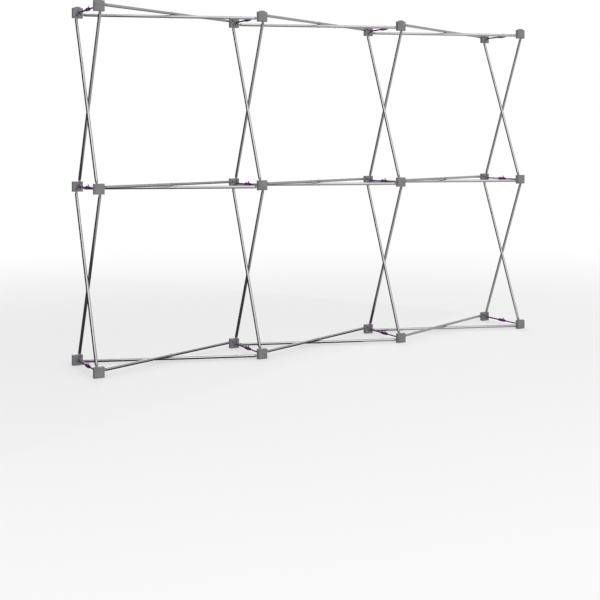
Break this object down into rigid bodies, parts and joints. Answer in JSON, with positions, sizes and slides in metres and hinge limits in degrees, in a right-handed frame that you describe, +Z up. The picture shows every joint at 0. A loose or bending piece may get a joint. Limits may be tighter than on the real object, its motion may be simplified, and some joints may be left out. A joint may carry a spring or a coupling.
{
  "type": "tabletop pop-up display frame",
  "caption": "Folding lattice frame for a tabletop display: square hubs front and rear, joined by crossed tubes, with lock arms that hold it open.",
  "frame": {"origin": "middle of the footprint, on the plane that the bottom hubs stand on", "axes": "+X along the width, +Y from the front hubs to the rear hubs, +Z up"},
  "size_m": [2.2374, 0.3, 1.511],
  "materials": {
    "hub_grey": "fine matt moulding",
    "tube_aluminium": "satin anodised, drawn",
    "lock_purple": "satin moulding"
  },
  "bodies": {
    "front_hub_bottom_1": {"front_hub_bottom_1": "hub_grey"},
    "front_hub_middle_1": {"front_hub_middle_1": "hub_grey"},
    "front_hub_top_1": {"front_hub_top_1": "hub_grey"},
    "front_hub_bottom_2": {"front_hub_bottom_2": "hub_grey"},
    "front_hub_middle_2": {"front_hub_middle_2": "hub_grey"},
    "front_hub_top_2": {"front_hub_top_2": "hub_grey"},
    "front_hub_bottom_3": {"front_hub_bottom_3": "hub_grey"},
    "front_hub_middle_3": {"front_hub_middle_3": "hub_grey"},
    "front_hub_top_3": {"front_hub_top_3": "hub_grey"},
    "front_hub_bottom_4": {"front_hub_bottom_4": "hub_grey"},
    "front_hub_middle_4": {"front_hub_middle_4": "hub_grey"},
    "front_hub_top_4": {"front_hub_top_4": "hub_grey"},
    "rear_hub_bottom_1": {"rear_hub_bottom_1": "hub_grey"},
    "rear_hub_middle_1": {"rear_hub_middle_1": "hub_grey"},
    "rear_hub_top_1": {"rear_hub_top_1": "hub_grey"},
    "rear_hub_bottom_2": {"rear_hub_bottom_2": "hub_grey"},
    "rear_hub_middle_2": {"rear_hub_middle_2": "hub_grey"},
    "rear_hub_top_2": {"rear_hub_top_2": "hub_grey"},
    "rear_hub_bottom_3": {"rear_hub_bottom_3": "hub_grey"},
    "rear_hub_middle_3": {"rear_hub_middle_3": "hub_grey"},
    "rear_hub_top_3": {"rear_hub_top_3": "hub_grey"},
    "rear_hub_bottom_4": {"rear_hub_bottom_4": "hub_grey"},
    "rear_hub_middle_4": {"rear_hub_middle_4": "hub_grey"},
    "rear_hub_top_4": {"rear_hub_top_4": "hub_grey"},
    "upright_lower_1_leaning_back": {"upright_lower_1_leaning_back": "tube_aluminium"},
    "upright_lower_1_leaning_forward": {"upright_lower_1_leaning_forward": "tube_aluminium"},
    "upright_upper_1_leaning_back": {"upright_upper_1_leaning_back": "tube_aluminium"},
    "upright_upper_1_leaning_forward": {"upright_upper_1_leaning_forward": "tube_aluminium"},
    "upright_lower_2_leaning_back": {"upright_lower_2_leaning_back": "tube_aluminium"},
    "upright_lower_2_leaning_forward": {"upright_lower_2_leaning_forward": "tube_aluminium"},
    "upright_upper_2_leaning_back": {"upright_upper_2_leaning_back": "tube_aluminium"},
    "upright_upper_2_leaning_forward": {"upright_upper_2_leaning_forward": "tube_aluminium"},
    "upright_lower_3_leaning_back": {"upright_lower_3_leaning_back": "tube_aluminium"},
    "upright_lower_3_leaning_forward": {"upright_lower_3_leaning_forward": "tube_aluminium"},
    "upright_upper_3_leaning_back": {"upright_upper_3_leaning_back": "tube_aluminium"},
    "upright_upper_3_leaning_forward": {"upright_upper_3_leaning_forward": "tube_aluminium"},
    "upright_lower_4_leaning_back": {"upright_lower_4_leaning_back": "tube_aluminium"},
    "upright_lower_4_leaning_forward": {"upright_lower_4_leaning_forward": "tube_aluminium"},
    "upright_upper_4_leaning_back": {"upright_upper_4_leaning_back": "tube_aluminium"},
    "upright_upper_4_leaning_forward": {"upright_upper_4_leaning_forward": "tube_aluminium"},
    "crossbar_bottom_1_running_back": {"crossbar_bottom_1_running_back": "tube_aluminium"},
    "crossbar_bottom_1_running_forward": {"crossbar_bottom_1_running_forward": "tube_aluminium"},
    "crossbar_bottom_2_running_back": {"crossbar_bottom_2_running_back": "tube_aluminium"},
    "crossbar_bottom_2_running_forward": {"crossbar_bottom_2_running_forward": "tube_aluminium"},
    "crossbar_bottom_3_running_back": {"crossbar_bottom_3_running_back": "tube_aluminium"},
    "crossbar_bottom_3_running_forward": {"crossbar_bottom_3_running_forward": "tube_aluminium"},
    "crossbar_middle_1_running_back": {"crossbar_middle_1_running_back": "tube_aluminium"},
    "crossbar_middle_1_running_forward": {"crossbar_middle_1_running_forward": "tube_aluminium"},
    "crossbar_middle_2_running_back": {"crossbar_middle_2_running_back": "tube_aluminium"},
    "crossbar_middle_2_running_forward": {"crossbar_middle_2_running_forward": "tube_aluminium"},
    "crossbar_middle_3_running_back": {"crossbar_middle_3_running_back": "tube_aluminium"},
    "crossbar_middle_3_running_forward": {"crossbar_middle_3_running_forward": "tube_aluminium"},
    "crossbar_top_1_running_back": {"crossbar_top_1_running_back": "tube_aluminium"},
    "crossbar_top_1_running_forward": {"crossbar_top_1_running_forward": "tube_aluminium"},
    "crossbar_top_2_running_back": {"crossbar_top_2_running_back": "tube_aluminium"},
    "crossbar_top_2_running_forward": {"crossbar_top_2_running_forward": "tube_aluminium"},
    "crossbar_top_3_running_back": {"crossbar_top_3_running_back": "tube_aluminium"},
    "crossbar_top_3_running_forward": {"crossbar_top_3_running_forward": "tube_aluminium"},
    "lock_latch_middle_2": {"lock_latch_middle_2": "lock_purple"},
    "lock_latch_middle_3": {"lock_latch_middle_3": "lock_purple"}
  },
  "joints": [
    {"name": "fold", "type": "hinge", "parent": "front_hub_bottom_2", "child": "crossbar_bottom_2_running_back", "pos_m": [-0.35275, -0.138, 0.0285], "axis": [0, 0, 1], "range_deg": [0, 67.1]},
    {"name": "rear_hub_bottom_3_level", "type": "hinge", "parent": "crossbar_bottom_2_running_back", "child": "rear_hub_bottom_3", "pos_m": [0.35275, 0.138, 0.0285], "axis": [0, 0, 1], "range_deg": [-67.1, 0]},
    {"name": "upright_lower_2_leaning_back_front_hinge", "type": "hinge", "parent": "front_hub_bottom_2", "child": "upright_lower_2_leaning_back", "pos_m": [-0.37275, -0.138, 0.0345], "axis": [1, 0, 0], "range_deg": [-67.1, 0]},
    {"name": "rear_hub_middle_2_level", "type": "hinge", "parent": "upright_lower_2_leaning_back", "child": "rear_hub_middle_2", "pos_m": [-0.37275, 0.138, 0.74], "axis": [1, 0, 0], "range_deg": [0, 67.1]},
    {"name": "crossbar_bottom_1_running_forward_front_hinge", "type": "hinge", "parent": "front_hub_bottom_2", "child": "crossbar_bottom_1_running_forward", "pos_m": [-0.37875, -0.138, 0.0145], "axis": [0, 0, 1], "range_deg": [-67.1, 0]},
    {"name": "rear_hub_bottom_1_level", "type": "hinge", "parent": "crossbar_bottom_1_running_forward", "child": "rear_hub_bottom_1", "pos_m": [-1.08425, 0.138, 0.0145], "axis": [0, 0, 1], "range_deg": [0, 67.1]},
    {"name": "upright_lower_3_leaning_forward_rear_hinge", "type": "hinge", "parent": "rear_hub_bottom_3", "child": "upright_lower_3_leaning_forward", "pos_m": [0.37275, 0.138, 0.0345], "axis": [1, 0, 0], "range_deg": [0, 67.1]},
    {"name": "front_hub_middle_3_level", "type": "hinge", "parent": "upright_lower_3_leaning_forward", "child": "front_hub_middle_3", "pos_m": [0.37275, -0.138, 0.74], "axis": [1, 0, 0], "range_deg": [-67.1, 0]},
    {"name": "crossbar_bottom_3_running_forward_rear_hinge", "type": "hinge", "parent": "rear_hub_bottom_3", "child": "crossbar_bottom_3_running_forward", "pos_m": [0.37875, 0.138, 0.0145], "axis": [0, 0, 1], "range_deg": [-67.1, 0]},
    {"name": "front_hub_bottom_4_level", "type": "hinge", "parent": "crossbar_bottom_3_running_forward", "child": "front_hub_bottom_4", "pos_m": [1.08425, -0.138, 0.0145], "axis": [0, 0, 1], "range_deg": [0, 67.1]},
    {"name": "upright_upper_2_leaning_forward_rear_hinge", "type": "hinge", "parent": "rear_hub_middle_2", "child": "upright_upper_2_leaning_forward", "pos_m": [-0.35875, 0.138, 0.766], "axis": [1, 0, 0], "range_deg": [0, 67.1]},
    {"name": "front_hub_top_2_level", "type": "hinge", "parent": "upright_upper_2_leaning_forward", "child": "front_hub_top_2", "pos_m": [-0.35875, -0.138, 1.4715], "axis": [1, 0, 0], "range_deg": [-67.1, 0]},
    {"name": "crossbar_middle_1_running_back_rear_hinge", "type": "hinge", "parent": "rear_hub_middle_2", "child": "crossbar_middle_1_running_back", "pos_m": [-0.37875, 0.138, 0.76], "axis": [0, 0, 1], "range_deg": [0, 67.1]},
    {"name": "front_hub_middle_1_level", "type": "hinge", "parent": "crossbar_middle_1_running_back", "child": "front_hub_middle_1", "pos_m": [-1.08425, -0.138, 0.76], "axis": [0, 0, 1], "range_deg": [-67.1, 0]},
    {"name": "crossbar_middle_2_running_forward_rear_hinge", "type": "hinge", "parent": "rear_hub_middle_2", "child": "crossbar_middle_2_running_forward", "pos_m": [-0.35275, 0.138, 0.746], "axis": [0, 0, 1], "range_deg": [-67.1, 0]},
    {"name": "upright_lower_1_leaning_forward_rear_hinge", "type": "hinge", "parent": "rear_hub_bottom_1", "child": "upright_lower_1_leaning_forward", "pos_m": [-1.09025, 0.138, 0.0345], "axis": [1, 0, 0], "range_deg": [0, 67.1]},
    {"name": "upright_upper_3_leaning_back_front_hinge", "type": "hinge", "parent": "front_hub_middle_3", "child": "upright_upper_3_leaning_back", "pos_m": [0.35875, -0.138, 0.766], "axis": [1, 0, 0], "range_deg": [-67.1, 0]},
    {"name": "rear_hub_top_3_level", "type": "hinge", "parent": "upright_upper_3_leaning_back", "child": "rear_hub_top_3", "pos_m": [0.35875, 0.138, 1.4715], "axis": [1, 0, 0], "range_deg": [0, 67.1]},
    {"name": "crossbar_middle_3_running_back_front_hinge", "type": "hinge", "parent": "front_hub_middle_3", "child": "crossbar_middle_3_running_back", "pos_m": [0.37875, -0.138, 0.76], "axis": [0, 0, 1], "range_deg": [0, 67.1]},
    {"name": "rear_hub_middle_4_level", "type": "hinge", "parent": "crossbar_middle_3_running_back", "child": "rear_hub_middle_4", "pos_m": [1.08425, 0.138, 0.76], "axis": [0, 0, 1], "range_deg": [-67.1, 0]},
    {"name": "upright_lower_4_leaning_back_front_hinge", "type": "hinge", "parent": "front_hub_bottom_4", "child": "upright_lower_4_leaning_back", "pos_m": [1.09025, -0.138, 0.0345], "axis": [1, 0, 0], "range_deg": [-67.1, 0]},
    {"name": "crossbar_top_1_running_forward_front_hinge", "type": "hinge", "parent": "front_hub_top_2", "child": "crossbar_top_1_running_forward", "pos_m": [-0.37875, -0.138, 1.4775], "axis": [0, 0, 1], "range_deg": [-67.1, 0]},
    {"name": "rear_hub_top_1_level", "type": "hinge", "parent": "crossbar_top_1_running_forward", "child": "rear_hub_top_1", "pos_m": [-1.08425, 0.138, 1.4775], "axis": [0, 0, 1], "range_deg": [0, 67.1]},
    {"name": "crossbar_top_2_running_back_front_hinge", "type": "hinge", "parent": "front_hub_top_2", "child": "crossbar_top_2_running_back", "pos_m": [-0.35275, -0.138, 1.4915], "axis": [0, 0, 1], "range_deg": [0, 67.1]},
    {"name": "upright_upper_1_leaning_back_front_hinge", "type": "hinge", "parent": "front_hub_middle_1", "child": "upright_upper_1_leaning_back", "pos_m": [-1.10425, -0.138, 0.766], "axis": [1, 0, 0], "range_deg": [-67.1, 0]},
    {"name": "crossbar_top_3_running_forward_rear_hinge", "type": "hinge", "parent": "rear_hub_top_3", "child": "crossbar_top_3_running_forward", "pos_m": [0.37875, 0.138, 1.4775], "axis": [0, 0, 1], "range_deg": [-67.1, 0]},
    {"name": "front_hub_top_4_level", "type": "hinge", "parent": "crossbar_top_3_running_forward", "child": "front_hub_top_4", "pos_m": [1.08425, -0.138, 1.4775], "axis": [0, 0, 1], "range_deg": [0, 67.1]},
    {"name": "upright_upper_4_leaning_forward_rear_hinge", "type": "hinge", "parent": "rear_hub_middle_4", "child": "upright_upper_4_leaning_forward", "pos_m": [1.10425, 0.138, 0.766], "axis": [1, 0, 0], "range_deg": [0, 67.1]},
    {"name": "crossbar_bottom_2_cross", "type": "hinge", "parent": "crossbar_bottom_2_running_back", "child": "crossbar_bottom_2_running_forward", "pos_m": [0, 0, 0.0215], "axis": [0, 0, 1], "range_deg": [-134.2, 0]},
    {"name": "front_hub_bottom_3_level", "type": "hinge", "parent": "crossbar_bottom_2_running_forward", "child": "front_hub_bottom_3", "pos_m": [0.35275, -0.138, 0.0145], "axis": [0, 0, 1], "range_deg": [0, 67.1]},
    {"name": "rear_hub_bottom_2_level", "type": "hinge", "parent": "crossbar_bottom_2_running_forward", "child": "rear_hub_bottom_2", "pos_m": [-0.35275, 0.138, 0.0145], "axis": [0, 0, 1], "range_deg": [0, 67.1]},
    {"name": "upright_lower_3_leaning_back_front_hinge", "type": "hinge", "parent": "front_hub_bottom_3", "child": "upright_lower_3_leaning_back", "pos_m": [0.35875, -0.138, 0.0345], "axis": [1, 0, 0], "range_deg": [-67.1, 0]},
    {"name": "rear_hub_middle_3_level", "type": "hinge", "parent": "upright_lower_3_leaning_back", "child": "rear_hub_middle_3", "pos_m": [0.35875, 0.138, 0.74], "axis": [1, 0, 0], "range_deg": [0, 67.1]},
    {"name": "crossbar_bottom_3_running_back_front_hinge", "type": "hinge", "parent": "front_hub_bottom_3", "child": "crossbar_bottom_3_running_back", "pos_m": [0.37875, -0.138, 0.0285], "axis": [0, 0, 1], "range_deg": [0, 67.1]},
    {"name": "rear_hub_bottom_4_level", "type": "hinge", "parent": "crossbar_bottom_3_running_back", "child": "rear_hub_bottom_4", "pos_m": [1.08425, 0.138, 0.0285], "axis": [0, 0, 1], "range_deg": [-67.1, 0]},
    {"name": "upright_lower_2_leaning_forward_rear_hinge", "type": "hinge", "parent": "rear_hub_bottom_2", "child": "upright_lower_2_leaning_forward", "pos_m": [-0.35875, 0.138, 0.0345], "axis": [1, 0, 0], "range_deg": [0, 67.1]},
    {"name": "front_hub_middle_2_level", "type": "hinge", "parent": "upright_lower_2_leaning_forward", "child": "front_hub_middle_2", "pos_m": [-0.35875, -0.138, 0.74], "axis": [1, 0, 0], "range_deg": [-67.1, 0]},
    {"name": "crossbar_bottom_1_running_back_rear_hinge", "type": "hinge", "parent": "rear_hub_bottom_2", "child": "crossbar_bottom_1_running_back", "pos_m": [-0.37875, 0.138, 0.0285], "axis": [0, 0, 1], "range_deg": [0, 67.1]},
    {"name": "front_hub_bottom_1_level", "type": "hinge", "parent": "crossbar_bottom_1_running_back", "child": "front_hub_bottom_1", "pos_m": [-1.08425, -0.138, 0.0285], "axis": [0, 0, 1], "range_deg": [-67.1, 0]},
    {"name": "upright_upper_3_leaning_forward_rear_hinge", "type": "hinge", "parent": "rear_hub_middle_3", "child": "upright_upper_3_leaning_forward", "pos_m": [0.37275, 0.138, 0.766], "axis": [1, 0, 0], "range_deg": [0, 67.1]},
    {"name": "front_hub_top_3_level", "type": "hinge", "parent": "upright_upper_3_leaning_forward", "child": "front_hub_top_3", "pos_m": [0.37275, -0.138, 1.4715], "axis": [1, 0, 0], "range_deg": [-67.1, 0]},
    {"name": "crossbar_middle_2_running_back_rear_hinge", "type": "hinge", "parent": "rear_hub_middle_3", "child": "crossbar_middle_2_running_back", "pos_m": [0.35275, 0.138, 0.76], "axis": [0, 0, 1], "range_deg": [0, 67.1]},
    {"name": "crossbar_middle_3_running_forward_rear_hinge", "type": "hinge", "parent": "rear_hub_middle_3", "child": "crossbar_middle_3_running_forward", "pos_m": [0.37875, 0.138, 0.746], "axis": [0, 0, 1], "range_deg": [-67.1, 0]},
    {"name": "front_hub_middle_4_level", "type": "hinge", "parent": "crossbar_middle_3_running_forward", "child": "front_hub_middle_4", "pos_m": [1.08425, -0.138, 0.746], "axis": [0, 0, 1], "range_deg": [0, 67.1]},
    {"name": "upright_lower_4_leaning_forward_rear_hinge", "type": "hinge", "parent": "rear_hub_bottom_4", "child": "upright_lower_4_leaning_forward", "pos_m": [1.10425, 0.138, 0.0345], "axis": [1, 0, 0], "range_deg": [0, 67.1]},
    {"name": "upright_upper_2_leaning_back_front_hinge", "type": "hinge", "parent": "front_hub_middle_2", "child": "upright_upper_2_leaning_back", "pos_m": [-0.37275, -0.138, 0.766], "axis": [1, 0, 0], "range_deg": [-67.1, 0]},
    {"name": "rear_hub_top_2_level", "type": "hinge", "parent": "upright_upper_2_leaning_back", "child": "rear_hub_top_2", "pos_m": [-0.37275, 0.138, 1.4715], "axis": [1, 0, 0], "range_deg": [0, 67.1]},
    {"name": "crossbar_middle_1_running_forward_front_hinge", "type": "hinge", "parent": "front_hub_middle_2", "child": "crossbar_middle_1_running_forward", "pos_m": [-0.37875, -0.138, 0.746], "axis": [0, 0, 1], "range_deg": [-67.1, 0]},
    {"name": "rear_hub_middle_1_level", "type": "hinge", "parent": "crossbar_middle_1_running_forward", "child": "rear_hub_middle_1", "pos_m": [-1.08425, 0.138, 0.746], "axis": [0, 0, 1], "range_deg": [0, 67.1]},
    {"name": "upright_lower_1_leaning_back_front_hinge", "type": "hinge", "parent": "front_hub_bottom_1", "child": "upright_lower_1_leaning_back", "pos_m": [-1.10425, -0.138, 0.0345], "axis": [1, 0, 0], "range_deg": [-67.1, 0]},
    {"name": "crossbar_top_2_running_forward_front_hinge", "type": "hinge", "parent": "front_hub_top_3", "child": "crossbar_top_2_running_forward", "pos_m": [0.35275, -0.138, 1.4775], "axis": [0, 0, 1], "range_deg": [-67.1, 0]},
    {"name": "crossbar_top_3_running_back_front_hinge", "type": "hinge", "parent": "front_hub_top_3", "child": "crossbar_top_3_running_back", "pos_m": [0.37875, -0.138, 1.4915], "axis": [0, 0, 1], "range_deg": [0, 67.1]},
    {"name": "rear_hub_top_4_level", "type": "hinge", "parent": "crossbar_top_3_running_back", "child": "rear_hub_top_4", "pos_m": [1.08425, 0.138, 1.4915], "axis": [0, 0, 1], "range_deg": [-67.1, 0]},
    {"name": "upright_upper_4_leaning_back_front_hinge", "type": "hinge", "parent": "front_hub_middle_4", "child": "upright_upper_4_leaning_back", "pos_m": [1.09025, -0.138, 0.766], "axis": [1, 0, 0], "range_deg": [-67.1, 0]},
    {"name": "crossbar_top_1_running_back_rear_hinge", "type": "hinge", "parent": "rear_hub_top_2", "child": "crossbar_top_1_running_back", "pos_m": [-0.37875, 0.138, 1.4915], "axis": [0, 0, 1], "range_deg": [0, 67.1]},
    {"name": "front_hub_top_1_level", "type": "hinge", "parent": "crossbar_top_1_running_back", "child": "front_hub_top_1", "pos_m": [-1.08425, -0.138, 1.4915], "axis": [0, 0, 1], "range_deg": [-67.1, 0]},
    {"name": "upright_upper_1_leaning_forward_rear_hinge", "type": "hinge", "parent": "rear_hub_middle_1", "child": "upright_upper_1_leaning_forward", "pos_m": [-1.09025, 0.138, 0.766], "axis": [1, 0, 0], "range_deg": [0, 67.1]},
    {"name": "lock_latch_middle_2_lift", "type": "hinge", "parent": "rear_hub_middle_2", "child": "lock_latch_middle_2", "pos_m": [-0.36575, 0.018, 0.7574], "axis": [-1, 0, 0], "range_deg": [0, 6], "stiffness_Nm_per_rad": 0.05, "springref_deg": -5.73},
    {"name": "lock_latch_middle_3_lift", "type": "hinge", "parent": "rear_hub_middle_3", "child": "lock_latch_middle_3", "pos_m": [0.36575, 0.018, 0.7574], "axis": [-1, 0, 0], "range_deg": [0, 6], "stiffness_Nm_per_rad": 0.05, "springref_deg": -5.73}
  ],
  "couplings": [
    {"joint": "rear_hub_bottom_3_level", "follows": "fold", "ratio": -1},
    {"joint": "upright_lower_2_leaning_back_front_hinge", "follows": "fold", "ratio": -1},
    {"joint": "rear_hub_middle_2_level", "follows": "fold", "ratio": 1},
    {"joint": "crossbar_bottom_1_running_forward_front_hinge", "follows": "fold", "ratio": -1},
    {"joint": "rear_hub_bottom_1_level", "follows": "fold", "ratio": 1},
    {"joint": "upright_lower_3_leaning_forward_rear_hinge", "follows": "fold", "ratio": 1},
    {"joint": "front_hub_middle_3_level", "follows": "fold", "ratio": -1},
    {"joint": "crossbar_bottom_3_running_forward_rear_hinge", "follows": "fold", "ratio": -1},
    {"joint": "front_hub_bottom_4_level", "follows": "fold", "ratio": 1},
    {"joint": "upright_upper_2_leaning_forward_rear_hinge", "follows": "fold", "ratio": 1},
    {"joint": "front_hub_top_2_level", "follows": "fold", "ratio": -1},
    {"joint": "crossbar_middle_1_running_back_rear_hinge", "follows": "fold", "ratio": 1},
    {"joint": "front_hub_middle_1_level", "follows": "fold", "ratio": -1},
    {"joint": "crossbar_middle_2_running_forward_rear_hinge", "follows": "fold", "ratio": -1},
    {"joint": "upright_lower_1_leaning_forward_rear_hinge", "follows": "fold", "ratio": 1},
    {"joint": "upright_upper_3_leaning_back_front_hinge", "follows": "fold", "ratio": -1},
    {"joint": "rear_hub_top_3_level", "follows": "fold", "ratio": 1},
    {"joint": "crossbar_middle_3_running_back_front_hinge", "follows": "fold", "ratio": 1},
    {"joint": "rear_hub_middle_4_level", "follows": "fold", "ratio": -1},
    {"joint": "upright_lower_4_leaning_back_front_hinge", "follows": "fold", "ratio": -1},
    {"joint": "crossbar_top_1_running_forward_front_hinge", "follows": "fold", "ratio": -1},
    {"joint": "rear_hub_top_1_level", "follows": "fold", "ratio": 1},
    {"joint": "crossbar_top_2_running_back_front_hinge", "follows": "fold", "ratio": 1},
    {"joint": "upright_upper_1_leaning_back_front_hinge", "follows": "fold", "ratio": -1},
    {"joint": "crossbar_top_3_running_forward_rear_hinge", "follows": "fold", "ratio": -1},
    {"joint": "front_hub_top_4_level", "follows": "fold", "ratio": 1},
    {"joint": "upright_upper_4_leaning_forward_rear_hinge", "follows": "fold", "ratio": 1},
    {"joint": "crossbar_bottom_2_cross", "follows": "fold", "ratio": -2},
    {"joint": "front_hub_bottom_3_level", "follows": "fold", "ratio": 1},
    {"joint": "rear_hub_bottom_2_level", "follows": "fold", "ratio": 1},
    {"joint": "upright_lower_3_leaning_back_front_hinge", "follows": "fold", "ratio": -1},
    {"joint": "rear_hub_middle_3_level", "follows": "fold", "ratio": 1},
    {"joint": "crossbar_bottom_3_running_back_front_hinge", "follows": "fold", "ratio": 1},
    {"joint": "rear_hub_bottom_4_level", "follows": "fold", "ratio": -1},
    {"joint": "upright_lower_2_leaning_forward_rear_hinge", "follows": "fold", "ratio": 1},
    {"joint": "front_hub_middle_2_level", "follows": "fold", "ratio": -1},
    {"joint": "crossbar_bottom_1_running_back_rear_hinge", "follows": "fold", "ratio": 1},
    {"joint": "front_hub_bottom_1_level", "follows": "fold", "ratio": -1},
    {"joint": "upright_upper_3_leaning_forward_rear_hinge", "follows": "fold", "ratio": 1},
    {"joint": "front_hub_top_3_level", "follows": "fold", "ratio": -1},
    {"joint": "crossbar_middle_2_running_back_rear_hinge", "follows": "fold", "ratio": 1},
    {"joint": "crossbar_middle_3_running_forward_rear_hinge", "follows": "fold", "ratio": -1},
    {"joint": "front_hub_middle_4_level", "follows": "fold", "ratio": 1},
    {"joint": "upright_lower_4_leaning_forward_rear_hinge", "follows": "fold", "ratio": 1},
    {"joint": "upright_upper_2_leaning_back_front_hinge", "follows": "fold", "ratio": -1},
    {"joint": "rear_hub_top_2_level", "follows": "fold", "ratio": 1},
    {"joint": "crossbar_middle_1_running_forward_front_hinge", "follows": "fold", "ratio": -1},
    {"joint": "rear_hub_middle_1_level", "follows": "fold", "ratio": 1},
    {"joint": "upright_lower_1_leaning_back_front_hinge", "follows": "fold", "ratio": -1},
    {"joint": "crossbar_top_2_running_forward_front_hinge", "follows": "fold", "ratio": -1},
    {"joint": "crossbar_top_3_running_back_front_hinge", "follows": "fold", "ratio": 1},
    {"joint": "rear_hub_top_4_level", "follows": "fold", "ratio": -1},
    {"joint": "upright_upper_4_leaning_back_front_hinge", "follows": "fold", "ratio": -1},
    {"joint": "crossbar_top_1_running_back_rear_hinge", "follows": "fold", "ratio": 1},
    {"joint": "front_hub_top_1_level", "follows": "fold", "ratio": -1},
    {"joint": "upright_upper_1_leaning_forward_rear_hinge", "follows": "fold", "ratio": 1}
  ]
}
